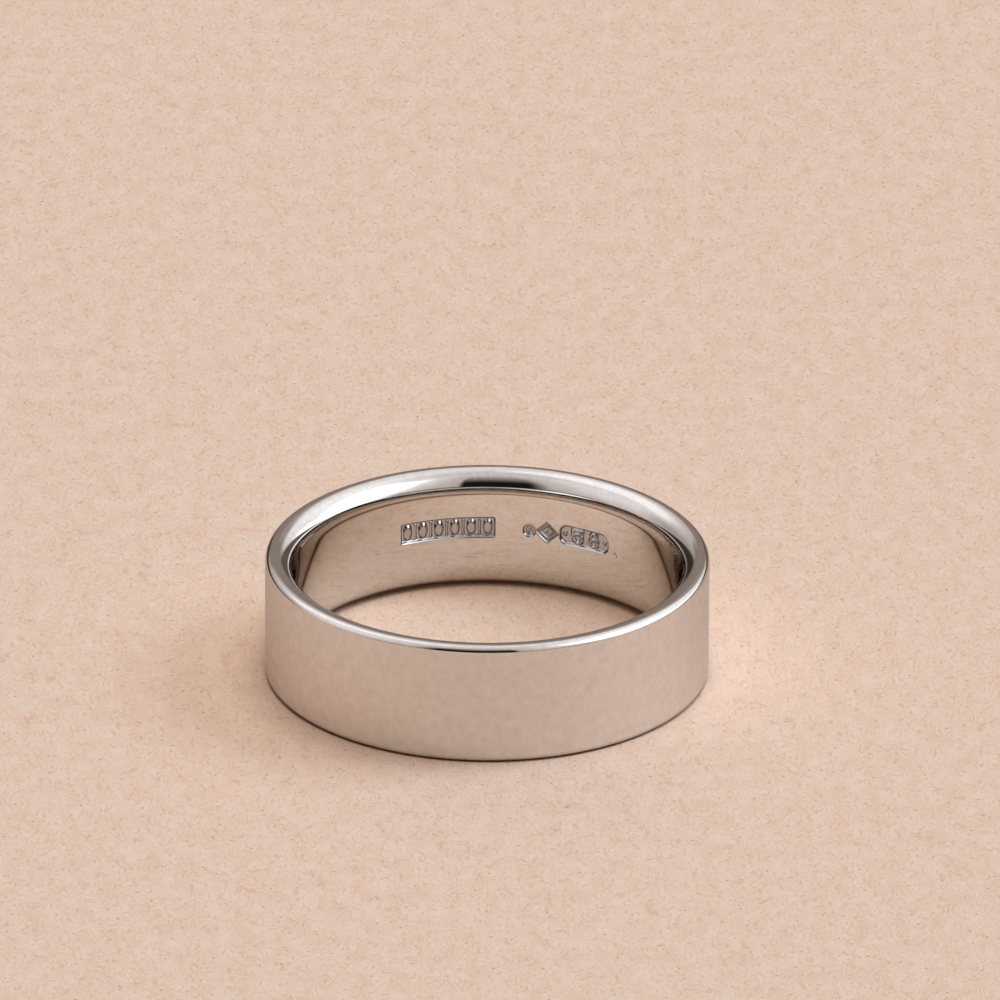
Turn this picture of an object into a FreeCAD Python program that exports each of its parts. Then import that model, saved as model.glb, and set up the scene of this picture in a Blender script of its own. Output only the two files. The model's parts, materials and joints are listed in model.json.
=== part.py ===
import FreeCAD, Part

import math
import os

# A plain wedding band: one ring of white precious metal, flat outside and comfort-fit inside.
# Millimetres. The ring lies flat, its axis is +Z, and the origin is the middle of its lower rim.

# Driving sizes
INSIDE_DIAMETER = 18.50  # across the straight middle of the bore, which sets the ring size
BAND_WIDTH = 6.00  # from rim to rim, along the finger
WALL = 1.40  # from the straight bore out to the outer face
OUTER_EDGE_RADIUS = 0.28  # small rounding between the outer face and the rim
RIM_LAND = 0.22  # flat left on each rim, which the ring rests on
SHOULDER_RADIUS = 2.60  # slow curve by which the bore starts to open towards the rim
SHOULDER_TURN = math.radians(13.4)  # lean of the bore wall where that curve meets the inside edge

PARTS_FOLDER = "parts"
AXIS_FOOT = FreeCAD.Vector(0, 0, 0)
AXIS = FreeCAD.Vector(0, 0, 1)

# Sizes that follow from them
BORE_RADIUS = INSIDE_DIAMETER / 2
OUTER_RADIUS = BORE_RADIUS + WALL
MID_HEIGHT = BAND_WIDTH / 2
SHOULDER_RISE = SHOULDER_RADIUS * (1 - math.cos(SHOULDER_TURN))
# The inside edge is rounded over all of the wall that the land, the outer edge and the shoulder leave.
ROUNDED_WALL = WALL - OUTER_EDGE_RADIUS - RIM_LAND - SHOULDER_RISE
INSIDE_EDGE_RADIUS = ROUNDED_WALL / math.cos(SHOULDER_TURN)


def point(radius, height):
    """A point of the section, which lies in the XZ plane."""
    return FreeCAD.Vector(radius, 0, height)


def arc(centre, radius, start, end):
    """The arc about centre from one angle to another, counted from straight outwards."""
    middle = (start + end) / 2
    spots = [centre + radius * point(math.cos(a), math.sin(a)) for a in (start, middle, end)]
    return Part.Arc(*spots).toShape()


def upper_rim():
    """The section's edges from the straight bore, over the upper rim, to the outer face."""
    land_inside = OUTER_RADIUS - OUTER_EDGE_RADIUS - RIM_LAND
    land_outside = OUTER_RADIUS - OUTER_EDGE_RADIUS
    lean = math.pi - SHOULDER_TURN
    inside_centre = point(land_inside, BAND_WIDTH - INSIDE_EDGE_RADIUS)
    outside_centre = point(land_outside, BAND_WIDTH - OUTER_EDGE_RADIUS)
    # The shoulder's centre lies on the line through the inside edge's centre, so the two are tangent.
    reach = SHOULDER_RADIUS - INSIDE_EDGE_RADIUS
    shoulder_centre = inside_centre - reach * point(math.cos(lean), math.sin(lean))
    return [
        arc(shoulder_centre, SHOULDER_RADIUS, math.pi, lean),
        arc(inside_centre, INSIDE_EDGE_RADIUS, lean, math.pi / 2),
        Part.LineSegment(point(land_inside, BAND_WIDTH), point(land_outside, BAND_WIDTH)).toShape(),
        arc(outside_centre, OUTER_EDGE_RADIUS, math.pi / 2, 0),
    ]


def straight_wall(radius, upper_end):
    """A wall parallel to the axis, as far below the middle of the band as above it."""
    lower_end = BAND_WIDTH - upper_end
    return Part.LineSegment(point(radius, lower_end), point(radius, upper_end)).toShape()


def band_section():
    """The closed section of the band: two mirrored rims, joined by the bore and the outer face."""
    rim = upper_rim()
    mirrored = [edge.mirror(point(0, MID_HEIGHT), AXIS) for edge in rim]
    bore_end = rim[0].Vertexes[0].Point.z
    outer_face_end = BAND_WIDTH - OUTER_EDGE_RADIUS
    walls = [
        straight_wall(BORE_RADIUS, bore_end),
        straight_wall(OUTER_RADIUS, outer_face_end),
    ]
    return Part.Face(Part.Wire(Part.sortEdges(rim + mirrored + walls)[0]))


def band():
    """The ring, turned from its section in one full turn about the finger's axis."""
    return band_section().revolve(AXIS_FOOT, AXIS, 360)


os.makedirs(PARTS_FOLDER, exist_ok=True)
pieces = {"band": band()}
for name, shape in pieces.items():
    shape.exportStep(f"{PARTS_FOLDER}/{name}.step")
    box = shape.optimalBoundingBox()
    print(f"{name}: {box.XLength:.3f} x {box.YLength:.3f} x {box.ZLength:.3f} mm, {shape.Volume:.2f} mm3")
print(f"inside edge radius {INSIDE_EDGE_RADIUS:.3f} mm")
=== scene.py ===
import json
import math

import bmesh
import bpy
from mathutils import Matrix, Vector
from mathutils.geometry import intersect_sphere_sphere_2d


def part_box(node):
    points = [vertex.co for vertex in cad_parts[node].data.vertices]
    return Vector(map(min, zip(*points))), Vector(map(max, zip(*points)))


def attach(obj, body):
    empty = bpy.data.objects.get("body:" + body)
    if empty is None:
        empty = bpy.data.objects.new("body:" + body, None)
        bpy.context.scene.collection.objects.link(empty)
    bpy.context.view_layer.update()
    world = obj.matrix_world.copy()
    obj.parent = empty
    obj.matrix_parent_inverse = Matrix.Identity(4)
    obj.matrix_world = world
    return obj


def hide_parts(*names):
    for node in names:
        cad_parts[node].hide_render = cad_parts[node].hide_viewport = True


# A white gold wedding band lying flat on paper in a light tent: satin outside, mirror polished on
# the rims and in the bore, with a row of small punched marks inside.
# Lengths are metres, so sizes are written in millimetres times MM.

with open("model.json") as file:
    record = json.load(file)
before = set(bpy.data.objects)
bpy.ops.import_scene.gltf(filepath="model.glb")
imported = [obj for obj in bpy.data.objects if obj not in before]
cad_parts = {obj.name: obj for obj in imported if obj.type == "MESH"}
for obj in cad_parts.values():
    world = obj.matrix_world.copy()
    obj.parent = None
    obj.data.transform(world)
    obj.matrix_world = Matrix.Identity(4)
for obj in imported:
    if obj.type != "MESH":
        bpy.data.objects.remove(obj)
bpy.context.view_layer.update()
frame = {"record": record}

MM = 0.001

# The band's main sizes come from the frame.
band_low, band_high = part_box("band")
OUTER_RADIUS = (band_high.x - band_low.x) / 2
BAND_WIDTH = band_high.z - band_low.z
MID_HEIGHT = (band_high.z + band_low.z) / 2
MOUNTS = {mount["name"]: mount for mount in frame["record"]["mounts"]}
BORE_RADIUS = MOUNTS["finger_bore"]["dims"]["r_mm"] * MM

# The rim's section, from the bore over the rim to the outer face
OUTER_EDGE_RADIUS = 0.28 * MM
RIM_LAND = 0.22 * MM
SHOULDER_RADIUS = 2.60 * MM
SHOULDER_TURN = math.radians(13.4)
SHOULDER_RISE = SHOULDER_RADIUS * (1 - math.cos(SHOULDER_TURN))
WALL = OUTER_RADIUS - BORE_RADIUS
CROWN_RADIUS = 1.2 * MM  # polishing has crowned the rim's land, by less than 0.01 mm
INSIDE_EDGE_RADIUS = (WALL - OUTER_EDGE_RADIUS - RIM_LAND - SHOULDER_RISE) / math.cos(SHOULDER_TURN)

# How finely the section and the turn are divided
SHOULDER_STEPS = 5
INSIDE_EDGE_STEPS = 20
CROWN_STEPS = 6
OUTER_EDGE_STEPS = 10
HOLD = 0.02 * MM  # a strip beside each rounding that keeps the flat next to it flat in reflections
SAME = HOLD / 10  # points closer than this are one point
MARK_STRIP = 1.72 * MM  # height of the finely divided strip of the bore that takes the marks
MARK_CELL = 0.034 * MM  # size of the cells of that strip, where it takes the marks
MARKED_FROM = math.radians(-31)  # the marked arc, counted from +Y towards +X
MARKED_TO = math.radians(47)
PLAIN_STEP = math.radians(1.4)  # a step of the turn everywhere else

POLISHED, SATIN, STRUCK = 0, 1, 2


# Materials

def linear(hex_colour):
    """An sRGB hex colour as linear red, green, blue and a full alpha."""
    channels = [int(hex_colour[i:i + 2], 16) / 255 for i in (1, 3, 5)]
    return [c / 12.92 if c <= 0.04045 else ((c + 0.055) / 1.055) ** 2.4 for c in channels] + [1]


def add_node(tree, kind, settings=None, **links):
    """A node with its settings. A link's value is a socket to connect, or a number or colour to set.

    A link is named after its input, or i and the input's number where two inputs have one name.
    """
    node = tree.nodes.new(kind)
    for name, value in (settings or {}).items():
        setattr(node, name, value)
    for name, value in links.items():
        key = int(name[1:]) if name[1:].isdigit() else name.replace("_", " ")
        if isinstance(value, bpy.types.NodeSocket):
            tree.links.new(value, node.inputs[key])
        else:
            node.inputs[key].default_value = value
    return node


TIMES = {"operation": "MULTIPLY"}
COLOURS = {"data_type": "RGBA"}  # a Mix node of colours takes them as i6 and i7, and gives outputs[2]


def new_material(name):
    """An empty material and its node tree."""
    material = bpy.data.materials.new(name)
    material.use_nodes = True
    material.node_tree.nodes.clear()
    return material, material.node_tree


def curled_lines(tree, place, swirl_size, detail, distortion, density, thinness):
    """1 along fine curled lines and 0 between them: the level lines of a swirled noise."""
    swirl = add_node(
        tree, "ShaderNodeTexNoise", Vector=place, Scale=1 / swirl_size, Detail=detail,
        Distortion=distortion,
    )
    levels = add_node(tree, "ShaderNodeMath", TIMES, i0=swirl.outputs[0], i1=density)
    wave = add_node(tree, "ShaderNodeMath", {"operation": "SINE"}, i0=levels.outputs[0])
    line = add_node(
        tree, "ShaderNodeMapRange", Value=wave.outputs[0], From_Min=thinness, From_Max=1.0,
        To_Min=0.0, To_Max=1.0,
    )
    return line.outputs[0]


GRAZING_TINT = "#D1CCC8"  # white gold mirrors less than most metals where it's seen at a low angle


def polished_white_gold():
    """18 carat white gold, buffed: a clear mirror with a trace of haze and of the buff's streaks."""
    material, tree = new_material("white_gold_polished")
    place = add_node(tree, "ShaderNodeTexCoord").outputs["Object"]
    haze = add_node(tree, "ShaderNodeTexNoise", Vector=place, Scale=1 / (1.2 * MM), Detail=3.0)
    roughness = add_node(
        tree, "ShaderNodeMapRange", Value=haze.outputs[0], From_Min=0.35, From_Max=0.65,
        To_Min=0.03, To_Max=0.06,
    )
    streaks = curled_lines(
        tree, place, swirl_size=1.6 * MM, detail=1.0, distortion=1.5, density=36.0, thinness=-1.0
    )
    colour = add_node(
        tree, "ShaderNodeMix", COLOURS, Factor=streaks, i6=linear("#D7D4D0"), i7=linear("#DDDAD6")
    )
    shader = add_node(
        tree, "ShaderNodeBsdfPrincipled", Base_Color=colour.outputs[2], Metallic=1.0,
        Specular_Tint=linear(GRAZING_TINT), Roughness=roughness.outputs[0],
    )
    add_node(tree, "ShaderNodeOutputMaterial", Surface=shader.outputs[0])
    return material


def satin_white_gold():
    """18 carat white gold, brushed to a silky satin: a blurred reflection with a fine grain."""
    material, tree = new_material("white_gold_satin")
    place = add_node(tree, "ShaderNodeTexCoord").outputs["Object"]
    cloud = add_node(tree, "ShaderNodeTexNoise", Vector=place, Scale=1 / (0.4 * MM), Detail=5.0)
    colour = add_node(
        tree, "ShaderNodeMix", COLOURS, Factor=cloud.outputs[0],
        i6=linear("#D3CEC9"), i7=linear("#EFEAE5"),
    )
    # The brush lines run upright. Real ones are too fine to show, so these are drawn coarser.
    upright = add_node(tree, "ShaderNodeMapping", Vector=place, Scale=(1, 1, 0.3)).outputs[0]
    grain = add_node(tree, "ShaderNodeTexNoise", Vector=upright, Scale=1 / (0.10 * MM), Detail=3.0)
    roughness = add_node(
        tree, "ShaderNodeMapRange", Value=grain.outputs[0], From_Min=0.35, From_Max=0.65,
        To_Min=0.34, To_Max=0.46,
    )
    bump = add_node(
        tree, "ShaderNodeBump", Height=grain.outputs[0], Strength=0.10, Distance=0.01 * MM
    )
    shader = add_node(
        tree, "ShaderNodeBsdfPrincipled", Base_Color=colour.outputs[2], Metallic=1.0,
        Specular_Tint=linear(GRAZING_TINT), Roughness=roughness.outputs[0], Normal=bump.outputs[0],
    )
    add_node(tree, "ShaderNodeOutputMaterial", Surface=shader.outputs[0])
    return material


def struck_white_gold():
    """18 carat white gold in the punched marks: bright, but a darker grey than the polished bore."""
    material, tree = new_material("white_gold_struck")
    place = add_node(tree, "ShaderNodeTexCoord").outputs["Object"]
    struck_mottle = add_node(tree, "ShaderNodeTexNoise", Vector=place, Scale=1 / (0.15 * MM), Detail=3.0)
    colour = add_node(
        tree, "ShaderNodeMix", COLOURS, Factor=struck_mottle.outputs[0],
        i6=linear("#A5A5A6"), i7=linear("#CBCBCC"),
    )
    shader = add_node(
        tree, "ShaderNodeBsdfPrincipled", Base_Color=colour.outputs[2], Metallic=1.0,
        Specular_Tint=linear(GRAZING_TINT), Roughness=0.12,
    )
    add_node(tree, "ShaderNodeOutputMaterial", Surface=shader.outputs[0])
    return material


# Punched marks. Places are millimetres along the bore from +Y towards +X, and up from mid height.
# A gap is the signed distance to an outline: negative inside it, and positive outside.

def ease(t):
    """0 below 0, 1 above 1, and a smooth slope between."""
    t = min(max(t, 0.0), 1.0)
    return t * t * (3 - 2 * t)


def box_gap(x, y, half_x, half_y, corner=0.0):
    """A box with round corners."""
    over_x = abs(x) - half_x + corner
    over_y = abs(y) - half_y + corner
    return math.hypot(max(over_x, 0), max(over_y, 0)) + min(max(over_x, over_y), 0) - corner


def lozenge_gap(x, y, half_x, half_y):
    """A lozenge that stands on a corner."""
    share = abs(x) / half_x + abs(y) / half_y - 1
    return share * half_x * half_y / math.hypot(half_x, half_y)


def line_gap(x, y, start, end):
    """A straight stroke with round ends."""
    run_x, run_y = end[0] - start[0], end[1] - start[1]
    share = ((x - start[0]) * run_x + (y - start[1]) * run_y) / (run_x ** 2 + run_y ** 2)
    share = min(max(share, 0), 1)
    return math.hypot(x - start[0] - share * run_x, y - start[1] - share * run_y) - STROKE / 2


def bow_gap(x, y, centre, radius, start, sweep):
    """A round stroke, which turns by sweep degrees from start, with round ends."""
    x, y = x - centre[0], y - centre[1]
    turned = (math.degrees(math.atan2(y, x)) - start) % 360
    if turned <= sweep:
        return abs(math.hypot(x, y) - radius) - STROKE / 2
    ends = (math.radians(start), math.radians(start + sweep))
    tips = [(radius * math.cos(end), radius * math.sin(end)) for end in ends]
    return min(math.hypot(x - tip_x, y - tip_y) for tip_x, tip_y in tips) - STROKE / 2


FIELD_DEPTH = 0.15  # how deep the sunk fields are
FIGURE_DEPTH = 0.02  # how far the raised figures stay below the bore
EDGE_SLOPE = 0.13  # how wide the slope is that runs down from a field's edge
FIGURE_SLOPE = 0.13  # how wide the slope is that runs up to the top of a raised figure
FIGURE_FOOT = 0.2  # the share of that slope that lies outside the figure's outline
STROKE = 0.22  # width of the raised strokes


def beads_and_bars(x, y):
    """A plain row of upright oval beads with a bar between each two."""
    pitch = 0.79
    half_width, half_height = 0.24, 0.44
    from_bead = x % pitch - pitch / 2
    bead = (math.hypot(from_bead / half_width, y / half_height) - 1) * half_width
    from_bar = abs(abs(from_bead) - pitch / 2)
    return min(bead, box_gap(from_bar, y, 0.07, 0.42))


def size_number(x, y):
    """The ring size, 58: its bore is 58 millimetres round."""
    five = min(
        line_gap(x, y, (-0.14, 0.32), (-0.68, 0.32)),
        line_gap(x, y, (-0.68, 0.32), (-0.70, 0.04)),
        bow_gap(x, y, (-0.44, -0.11), 0.24, -150, 285),
    )
    eight = min(
        bow_gap(x, y, (0.46, 0.18), 0.16, 0, 360),
        bow_gap(x, y, (0.46, -0.14), 0.21, 0, 360),
    )
    dots = math.hypot(abs(x) - 1.10, y) - STROKE / 2
    return min(five, eight, dots)


def ring_and_dot(x, y):
    """A small ring round a dot."""
    out = math.hypot(x, y)
    return min(abs(out - 0.21) - 0.05, out - 0.06)


def lozenge_frame(x, y):
    """A lozenge-shaped frame round a dot."""
    frame_gap = max(lozenge_gap(x, y, 0.52, 0.47), -lozenge_gap(x, y, 0.28, 0.25))
    return min(frame_gap, math.hypot(x, y) - 0.08)


def nothing_raised(x, y):
    """No figure: everywhere is as far outside as the slope is wide."""
    return FIGURE_SLOPE


def long_field(x, y):
    return box_gap(x, y, 2.38, 0.555, 0.14)


def number_field(x, y):
    return box_gap(x, y, 1.395, 0.53, 0.42)


def round_field(x, y):
    return math.hypot(x, y) - 0.345


def lozenge_field(x, y):
    return lozenge_gap(x, y, 0.66, 0.60)


def corner_pit(x, y):
    return max(-y - 0.12, 0.87 * abs(x) + 0.5 * y - 0.08)


# place along the bore, place up, field, figure, and how far the field reaches along at most
MARKS = [
    (-1.97, 0.22, long_field, beads_and_bars, 2.6),
    (2.03, 0.15, round_field, ring_and_dot, 0.5),
    (2.91, 0.15, lozenge_field, lozenge_frame, 0.8),
    (4.92, 0.19, number_field, size_number, 1.6),
    (6.72, -0.14, corner_pit, nothing_raised, 0.4),
]


def punched_depth(along, up):
    """Depth in millimetres of the marks at a place on the bore."""
    deepest = 0
    for mark_along, mark_up, field, figure, reach in MARKS:
        x, y = along - mark_along, up - mark_up
        if abs(x) < reach:
            sunk = ease(-field(x, y) / EDGE_SLOPE)
            if sunk > 0:
                raised = ease(FIGURE_FOOT - figure(x, y) / FIGURE_SLOPE)
                deepest = max(deepest, sunk * (FIELD_DEPTH + (FIGURE_DEPTH - FIELD_DEPTH) * raised))
    return deepest


# The band

def run_on(bm, tip, radius, height):
    """Draws the section straight on from its tip. Returns the new tip."""
    new_tip = bm.verts.new((0, radius, height))
    bm.edges.new((tip, new_tip))
    return new_tip


def swing_on(bm, tip, centre, angle, steps):
    """Draws the section on from its tip by a turn outwards about centre. Returns the new tip."""
    arc = bmesh.ops.spin(
        bm, geom=[tip], cent=(0, *centre), axis=(-1, 0, 0), dvec=(0, 0, 0), angle=angle, steps=steps,
        use_merge=False, use_normal_flip=False, use_duplicate=False,
    )
    return next(item for item in arc["geom_last"] if isinstance(item, bmesh.types.BMVert))


def draw_upper_section(bm):
    """The section's upper half, from the bore over the rim to the outer face, in the YZ plane."""
    land_outside = OUTER_RADIUS - OUTER_EDGE_RADIUS
    inside_centre = Vector((land_outside - RIM_LAND, BAND_WIDTH - INSIDE_EDGE_RADIUS))
    outside_centre = Vector((land_outside, BAND_WIDTH - OUTER_EDGE_RADIUS))
    lean = Vector((math.cos(SHOULDER_TURN), -math.sin(SHOULDER_TURN)))
    shoulder_centre = inside_centre + (SHOULDER_RADIUS - INSIDE_EDGE_RADIUS) * lean
    # The crown is tangent to both roundings.
    crown_centre = min(
        intersect_sphere_sphere_2d(
            inside_centre, CROWN_RADIUS - INSIDE_EDGE_RADIUS,
            outside_centre, CROWN_RADIUS - OUTER_EDGE_RADIUS,
        ),
        key=lambda centre: centre.y,
    )
    to_inside = inside_centre - crown_centre
    to_outside = outside_centre - crown_centre
    inside_turn = math.pi / 2 - math.atan2(-to_inside.x, to_inside.y)
    outside_turn = math.pi / 2 - math.atan2(to_outside.x, to_outside.y)

    tip = bm.verts.new((0, BORE_RADIUS, MID_HEIGHT))
    tip = run_on(bm, tip, BORE_RADIUS, MID_HEIGHT + MARK_STRIP / 2)
    tip = run_on(bm, tip, BORE_RADIUS, shoulder_centre.y - HOLD)
    tip = run_on(bm, tip, BORE_RADIUS, shoulder_centre.y)
    tip = swing_on(bm, tip, shoulder_centre, SHOULDER_TURN, SHOULDER_STEPS)
    tip = swing_on(bm, tip, inside_centre, inside_turn - SHOULDER_TURN, INSIDE_EDGE_STEPS)
    tip = swing_on(bm, tip, crown_centre, math.pi - inside_turn - outside_turn, CROWN_STEPS)
    tip = swing_on(bm, tip, outside_centre, outside_turn, OUTER_EDGE_STEPS)
    tip = run_on(bm, tip, OUTER_RADIUS, BAND_WIDTH - OUTER_EDGE_RADIUS - HOLD)
    tip = run_on(bm, tip, OUTER_RADIUS, MID_HEIGHT)
    # The crown is brought down to the width of the band.
    top = max(vert.co.z for vert in bm.verts)
    bmesh.ops.scale(
        bm, verts=bm.verts, vec=(1, 1, (BAND_WIDTH - MID_HEIGHT) / (top - MID_HEIGHT)),
        space=Matrix.Translation((0, 0, -MID_HEIGHT)),
    )


def draw_section(bm):
    """The whole section: two mirrored halves, with a finely divided strip for the marks."""
    draw_upper_section(bm)
    bmesh.ops.mirror(
        bm, geom=bm.verts[:] + bm.edges[:], matrix=Matrix.Translation((0, 0, -MID_HEIGHT)),
        merge_dist=SAME, axis="Z",
    )
    half_strip = MARK_STRIP / 2 + SAME
    strip = [
        edge for edge in bm.edges
        if all(
            abs(vert.co.y - BORE_RADIUS) < SAME and abs(vert.co.z - MID_HEIGHT) < half_strip
            for vert in edge.verts
        )
    ]
    rows = round(MARK_STRIP / MARK_CELL / len(strip))
    bmesh.ops.subdivide_edges(bm, edges=strip, cuts=rows - 1)


def spin_whole(bm, geom, angle, steps, copies):
    """Spins geom about the finger's axis, as a swept surface or as separate copies."""
    bmesh.ops.spin(
        bm, geom=geom, cent=(0, 0, 0), axis=(0, 0, 1), dvec=(0, 0, 0), angle=angle, steps=steps,
        use_merge=False, use_normal_flip=False, use_duplicate=copies,
    )


def turn_arc(section, start, angle, steps):
    """An arc of the ring. A short sector is swept and then copied round, which is quick."""
    sectors = round(math.sqrt(steps))
    sector_steps = round(steps / sectors)
    bm = section.copy()
    bmesh.ops.rotate(bm, verts=bm.verts, cent=(0, 0, 0), matrix=Matrix.Rotation(start, 3, "Z"))
    spin_whole(bm, bm.verts[:] + bm.edges[:], angle / sectors, sector_steps, False)
    whole_sector = bm.verts[:] + bm.edges[:] + bm.faces[:]
    spin_whole(bm, whole_sector, angle * (sectors - 1) / sectors, sectors - 1, True)
    mesh = bpy.data.meshes.new("arc")
    bm.to_mesh(mesh)
    bm.free()
    return mesh


def sort_faces(bm):
    """Gives the faces a fixed order. The spins leave them in a different order in each run."""
    bm.verts.index_update()
    count = len(bm.verts)

    def rank(face):
        lowest, second, *_, highest = sorted(vert.index for vert in face.verts)
        return (lowest * count + second) * count + highest

    bm.faces.sort(key=rank)


def punch_marks(bm):
    """Pushes the bore's surface outwards into the metal where the marks are, and leaves it struck."""
    struck = set()
    for vert in bm.verts:
        radius = math.hypot(vert.co.x, vert.co.y)
        up = vert.co.z - MID_HEIGHT
        if radius < BORE_RADIUS + SAME and abs(up) < MARK_STRIP / 2:
            along = BORE_RADIUS * math.atan2(vert.co.x, vert.co.y)
            depth = punched_depth(along / MM, up / MM) * MM
            if depth > 0:
                vert.co.xy *= 1 + depth / radius
                struck.add(vert)
    for face in bm.faces:
        if struck.issuperset(face.verts):
            face.material_index = STRUCK


def make_band():
    """The ring, with the arc that takes the marks turned in finer steps than the rest."""
    section = bmesh.new()
    draw_section(section)
    marked_arc = MARKED_TO - MARKED_FROM
    plain_arc = 2 * math.pi - marked_arc
    bm = bmesh.new()
    marked = turn_arc(section, -MARKED_FROM, -marked_arc, marked_arc * BORE_RADIUS / MARK_CELL)
    plain = turn_arc(section, -MARKED_TO, -plain_arc, plain_arc / PLAIN_STEP)
    for arc in (marked, plain):
        bm.from_mesh(arc)
        bpy.data.meshes.remove(arc)
    section.free()
    bmesh.ops.remove_doubles(bm, verts=bm.verts, dist=SAME)
    bmesh.ops.recalc_face_normals(bm, faces=bm.faces)
    sort_faces(bm)
    for face in bm.faces:
        face.smooth = True
        middle = face.calc_center_median()
        outside = middle.xy.length > BORE_RADIUS + WALL / 2
        between_edges = abs(middle.z - MID_HEIGHT) < BAND_WIDTH / 2 - OUTER_EDGE_RADIUS
        face.material_index = SATIN if outside and between_edges else POLISHED
    punch_marks(bm)
    mesh = bpy.data.meshes.new("white_gold_band")
    bm.to_mesh(mesh)
    bm.free()
    for material in (polished_white_gold(), satin_white_gold(), struck_white_gold()):
        mesh.materials.append(material)
    band = bpy.data.objects.new("white_gold_band", mesh)
    bpy.context.scene.collection.objects.link(band)
    return band


# The paper that the band lies on

PAPER_SIZE = 3.0  # a sheet so wide that no edge is seen


def fibrous_paper():
    """Uncoated paper: matt, mottled pink and tan, with fine curled fibres whose shade is painted in,
    and a few specks.
    """
    material, tree = new_material("fibrous_paper")
    flat = add_node(tree, "ShaderNodeTexCoord").outputs["Object"]
    # The fibres lie mostly along the sheet's grain. Real ones are too fine to show, so these are
    # drawn coarser.
    place = add_node(tree, "ShaderNodeMapping", Vector=flat, Scale=(1, 0.55, 1)).outputs[0]
    mottle = add_node(tree, "ShaderNodeTexNoise", Vector=place, Scale=1 / (0.9 * MM), Detail=4.0)
    fibres = curled_lines(
        tree, place, swirl_size=0.5 * MM, detail=1.5, distortion=1.0, density=30.0, thinness=0.2
    )
    breaks = add_node(tree, "ShaderNodeTexNoise", Vector=place, Scale=1 / (0.45 * MM), Detail=2.0)
    kept = add_node(
        tree, "ShaderNodeMapRange", Value=breaks.outputs[0], From_Min=0.36, From_Max=0.60,
        To_Min=0.15, To_Max=0.8,
    )
    broken = add_node(tree, "ShaderNodeMath", TIMES, i0=fibres, i1=kept.outputs[0]).outputs[0]
    # The fibre lines darken the colour as painted shade of their relief, which the bump alone shows
    # too faintly. The mottle under them is the paper's own tone.
    shade = add_node(
        tree, "ShaderNodeMath", {"operation": "SUBTRACT"}, i0=mottle.outputs[0], i1=broken
    )
    colour = add_node(
        tree, "ShaderNodeMix", COLOURS | {"clamp_factor": False}, Factor=shade.outputs[0],
        i6=linear("#DFBBA4"), i7=linear("#ECD3C2"),
    )
    specks = add_node(
        tree, "ShaderNodeTexVoronoi", {"voronoi_dimensions": "2D"}, Vector=flat,
        Scale=1 / (2.3 * MM),
    )
    spot = add_node(
        tree, "ShaderNodeMapRange", Value=specks.outputs["Distance"], From_Min=0.012, From_Max=0.037,
        To_Min=0.55, To_Max=0.0,
    )
    colour = add_node(
        tree, "ShaderNodeMix", COLOURS, Factor=spot.outputs[0],
        i6=colour.outputs[2], i7=linear("#7E5238"),
    )
    bump = add_node(
        tree, "ShaderNodeBump", {"invert": True}, Height=broken, Strength=0.3, Distance=0.02 * MM
    )
    shader = add_node(
        tree, "ShaderNodeBsdfPrincipled", Base_Color=colour.outputs[2], Roughness=0.9,
        Specular_IOR_Level=0.2, Normal=bump.outputs[0],
    )
    add_node(tree, "ShaderNodeOutputMaterial", Surface=shader.outputs[0])
    return material


def lay_paper():
    """One flat sheet under the band."""
    bm = bmesh.new()
    bmesh.ops.create_grid(bm, x_segments=1, y_segments=1, size=PAPER_SIZE / 2)
    mesh = bpy.data.meshes.new("paper")
    bm.to_mesh(mesh)
    bm.free()
    mesh.materials.append(fibrous_paper())
    paper = bpy.data.objects.new("paper", mesh)
    bpy.context.scene.collection.objects.link(paper)


# The light. Directions are degrees: azimuth 0 is the camera's side and 90 is to its right, and
# elevation is above the paper. The metal mirrors a light tent: white walls and roof, brighter on the
# right, a soft box behind the right wall and a panel behind the left one, a warm glow of the paper at
# their foot, the dark gap that the camera looks in by, and a low dark opening behind. Soft boxes above
# the tent light the paper. They are too even to show in the metal, so it doesn't mirror them.

# Each layer is painted over the ones before it: tint, brightness, cover, and the azimuths and the
# elevations between which it fades in and out. Beyond -998 and 998 there are no directions, so a layer
# has no edge there.
EVERYWHERE = (-999, -998, 998, 999)
TENT_WALLS = ("#FFFAFC", 1.02)
TENT_LAYERS = {
    "right_wall": ("#FCFAFD", 1.33, 1.0, (35, 75, 140, 180), EVERYWHERE),
    "right_soft_box": ("#F3F7FF", 3.00, 1.0, (42, 62, 95, 125), (10, 25, 52, 68)),
    "front_walls": ("#FFF3F0", 0.66, 1.0, (-85, -28, 18, 48), EVERYWHERE),
    "glow_of_the_paper": ("#FFE2D2", 0.60, 0.6, EVERYWHERE, (-999, -998, 0, 40)),
    "foot_of_the_front_walls": ("#FFE0D0", 0.12, 1.0, (-80, -50, 45, 75), (-999, -998, 3, 9)),
    "foot_of_the_right_wall": ("#E6F1FF", 2.60, 1.0, (50, 80, 125, 150), (1, 4, 14, 24)),
    "roof": ("#FEF8FA", 0.78, 1.0, EVERYWHERE, (54, 84, 998, 999)),
    "left_panel": ("#FEF9FC", 1.40, 1.0, (-178, -168, -140, -118), (30, 40, 60, 80)),
    "shade_behind_left": ("#FFEFE8", 0.50, 1.0, (-999, -998, -125, -95), (-999, -998, 16, 40)),
    "shade_behind_right": ("#FFEFE8", 0.45, 1.0, (156, 168, 998, 999), (-999, -998, 29, 36)),
    "camera_gap": ("#FFE8DC", 0.012, 1.0, (-40, -24, 14, 18), (-999, -998, 26, 82)),
}

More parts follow.
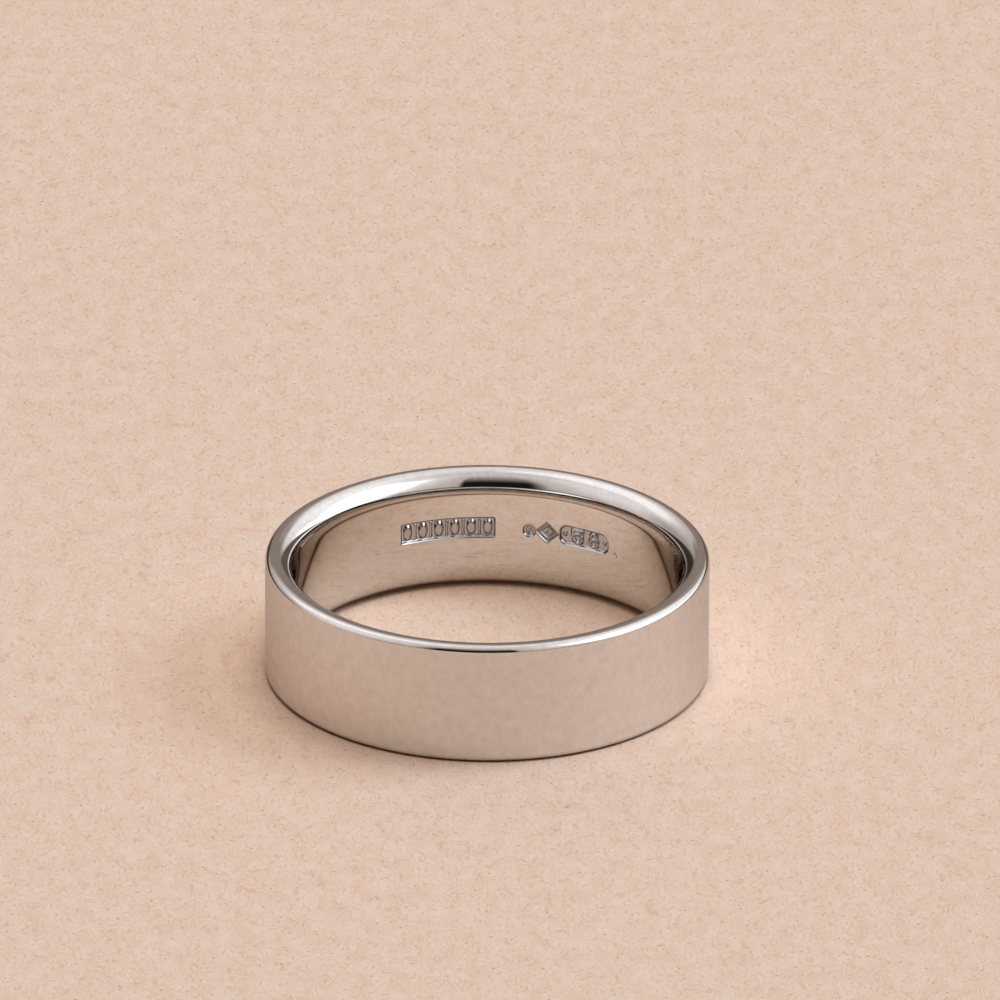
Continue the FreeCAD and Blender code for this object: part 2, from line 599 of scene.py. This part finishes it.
# Behind, the walls stop short of the paper. A low gap runs to each side, and a slot stands between.
LOW_GAPS = {
    "left_gap": ("#FFE0D0", 0.06, (-999, -998, -1, 1)),
    "right_gap": ("#FFE6DC", 0.17, (-1, 1, 998, 999)),
}
LOW_GAP_HEIGHT = 23  # straight behind, sinking to nothing at LOW_GAP_REACH to each side
LOW_GAP_REACH = 88
LOW_GAP_FADE = (0.88, 1.12)  # shares of its height between which the gap's upper edge fades
SLOT = ("#FFE9E0", 0.36, (165, 170, 998, 999), (-999, -998, 25, 27.5))  # azimuths to either side

# tint, strength, azimuth, elevation, and the angle that the soft box fills
SOFT_BOXES = {
    "overhead": ("#F3FBFF", 1.45, 109, 81, 35),
    "right": ("#CFE6FF", 1.30, 104, 43, 26),
    "above_camera": ("#FFF4E3", 0.70, -8, 71, 27),
    "behind": ("#FFEEDD", 0.60, 190, 42, 50),
}


def lit(tint, brightness):
    """A light's colour: a tint of full brightness times how bright it is, where 1 is plain white."""
    return [brightness * channel for channel in linear(tint)[:3]] + [1]


def faded(tree, angle, stops):
    """1 between the middle two of four angles, fading to 0 at the outer two."""
    rise, fall = [
        add_node(
            tree, "ShaderNodeMapRange", {"interpolation_type": "SMOOTHSTEP"}, Value=angle,
            From_Min=stops[i], From_Max=stops[i + 1], To_Min=low, To_Max=1 - low,
        ).outputs[0]
        for i, low in ((0, 0), (2, 1))
    ]
    return add_node(tree, "ShaderNodeMath", TIMES, i0=rise, i1=fall).outputs[0]


def patch(tree, across, azimuths, upward, elevations):
    """1 in a patch of the tent, between its azimuths and between its elevations."""
    width, height = faded(tree, across, azimuths), faded(tree, upward, elevations)
    return add_node(tree, "ShaderNodeMath", TIMES, i0=width, i1=height).outputs[0]


def tent_directions(tree):
    """Azimuth and elevation of a ray, in degrees, and its azimuth to either side."""
    ray = add_node(tree, "ShaderNodeTexCoord").outputs["Generated"]
    parts = add_node(tree, "ShaderNodeSeparateXYZ", Vector=ray).outputs
    to_camera = add_node(tree, "ShaderNodeMath", TIMES, i0=parts["Y"], i1=-1.0).outputs[0]
    turn = add_node(tree, "ShaderNodeMath", {"operation": "ARCTAN2"}, i0=parts["X"], i1=to_camera)
    rise = add_node(tree, "ShaderNodeMath", {"operation": "ARCSINE"}, i0=parts["Z"])
    azimuth, elevation = [
        add_node(tree, "ShaderNodeMath", {"operation": "DEGREES"}, i0=angle.outputs[0]).outputs[0]
        for angle in (turn, rise)
    ]
    aside = add_node(tree, "ShaderNodeMath", {"operation": "ABSOLUTE"}, i0=azimuth)
    return azimuth, elevation, aside.outputs[0]


def low_gap(tree, elevation, aside):
    """1 in the low gap behind the band, 0 elsewhere."""
    # The height stays above 0, because the elevation is divided by it.
    height = add_node(
        tree, "ShaderNodeMapRange", Value=aside, From_Min=180 - LOW_GAP_REACH, From_Max=180,
        To_Min=0.01, To_Max=LOW_GAP_HEIGHT,
    )
    share = add_node(
        tree, "ShaderNodeMath", {"operation": "DIVIDE"}, i0=elevation, i1=height.outputs[0]
    )
    return add_node(
        tree, "ShaderNodeMapRange", {"interpolation_type": "SMOOTHSTEP"}, Value=share.outputs[0],
        From_Min=LOW_GAP_FADE[0], From_Max=LOW_GAP_FADE[1], To_Min=1.0, To_Max=0.0,
    ).outputs[0]


def tent_paints(tree):
    """Each light of the tent and its cover, in the order in which they are painted."""
    azimuth, elevation, aside = tent_directions(tree)
    paints = []
    for tint, brightness, opacity, azimuths, elevations in TENT_LAYERS.values():
        place = patch(tree, azimuth, azimuths, elevation, elevations)
        cover = add_node(tree, "ShaderNodeMath", TIMES, i0=place, i1=opacity).outputs[0]
        paints.append((lit(tint, brightness), cover))
    low = low_gap(tree, elevation, aside)
    for tint, brightness, azimuths in LOW_GAPS.values():
        side = faded(tree, azimuth, azimuths)
        cover = add_node(tree, "ShaderNodeMath", TIMES, i0=low, i1=side).outputs[0]
        paints.append((lit(tint, brightness), cover))
    tint, brightness, azimuths, elevations = SLOT
    paints.append((lit(tint, brightness), patch(tree, aside, azimuths, elevation, elevations)))
    return paints


def light_tent():
    """The world: what the metal mirrors. The paper is matt, and only the soft boxes light it."""
    world = bpy.data.worlds.new("light_tent")
    bpy.context.scene.world = world
    world.cycles_visibility.diffuse = False
    world.use_nodes = True
    tree = world.node_tree
    tree.nodes.clear()
    colour = lit(*TENT_WALLS)
    for light, cover in tent_paints(tree):
        colour = add_node(
            tree, "ShaderNodeMix", COLOURS, Factor=cover, i6=colour, i7=light
        ).outputs[2]
    glow = add_node(tree, "ShaderNodeBackground", Color=colour, Strength=1.0)
    add_node(tree, "ShaderNodeOutputWorld", Surface=glow.outputs[0])


def hang_soft_boxes():
    """The lamps that light the paper, hidden from the metal."""
    for name, (tint, strength, azimuth, elevation, angle) in SOFT_BOXES.items():
        data = bpy.data.lights.new("soft_box_" + name, "SUN")
        data.color = linear(tint)[:3]
        data.energy = strength
        data.angle = math.radians(angle)
        lamp = bpy.data.objects.new("soft_box_" + name, data)
        turn = Matrix.Rotation(math.radians(azimuth), 4, "Z")
        lean = Matrix.Rotation(math.radians(90 - elevation), 4, "X")
        lamp.matrix_world = turn @ lean
        lamp.visible_glossy = False
        bpy.context.scene.collection.objects.link(lamp)


# The camera, on the photograph's line of sight

CAMERA_DISTANCE = 100 * OUTER_RADIUS  # far off: the photograph shows next to no perspective
CAMERA_ELEVATION = math.radians(24.85)
CAMERA_ROLL = math.radians(0.327)
SENSOR = 36.0  # width in millimetres
IMAGE_SIZE = 1000
LENS_PIXELS = 22207  # focal length in pixels of the photograph
BAND_PIXEL = (487.7, 611.8)  # where the middle of the band is seen


def set_camera():
    """The camera, aimed so that the band's middle is seen at its pixel of the photograph."""
    middle = Vector((0, 0, MID_HEIGHT))
    line = Vector((0, -math.cos(CAMERA_ELEVATION), math.sin(CAMERA_ELEVATION)))
    place = middle + CAMERA_DISTANCE * line
    right = Vector((1, 0, 0))
    up = line.cross(right)
    pixel = CAMERA_DISTANCE / LENS_PIXELS
    aim = middle + right * (IMAGE_SIZE / 2 - BAND_PIXEL[0]) * pixel
    aim += up * (BAND_PIXEL[1] - IMAGE_SIZE / 2) * pixel
    data = bpy.data.cameras.new("camera")
    data.sensor_width = SENSOR
    data.lens = SENSOR * LENS_PIXELS / IMAGE_SIZE
    camera = bpy.data.objects.new("camera", data)
    turn = (aim - place).to_track_quat("-Z", "Y").to_matrix().to_4x4()
    camera.matrix_world = Matrix.Translation(place) @ turn @ Matrix.Rotation(CAMERA_ROLL, 4, "Z")
    bpy.context.scene.collection.objects.link(camera)
    bpy.context.scene.camera = camera


band = make_band()
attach(band, "root")
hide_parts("band")
lay_paper()
light_tent()
hang_soft_boxes()
set_camera()
bpy.context.scene.view_settings.view_transform = "Standard"
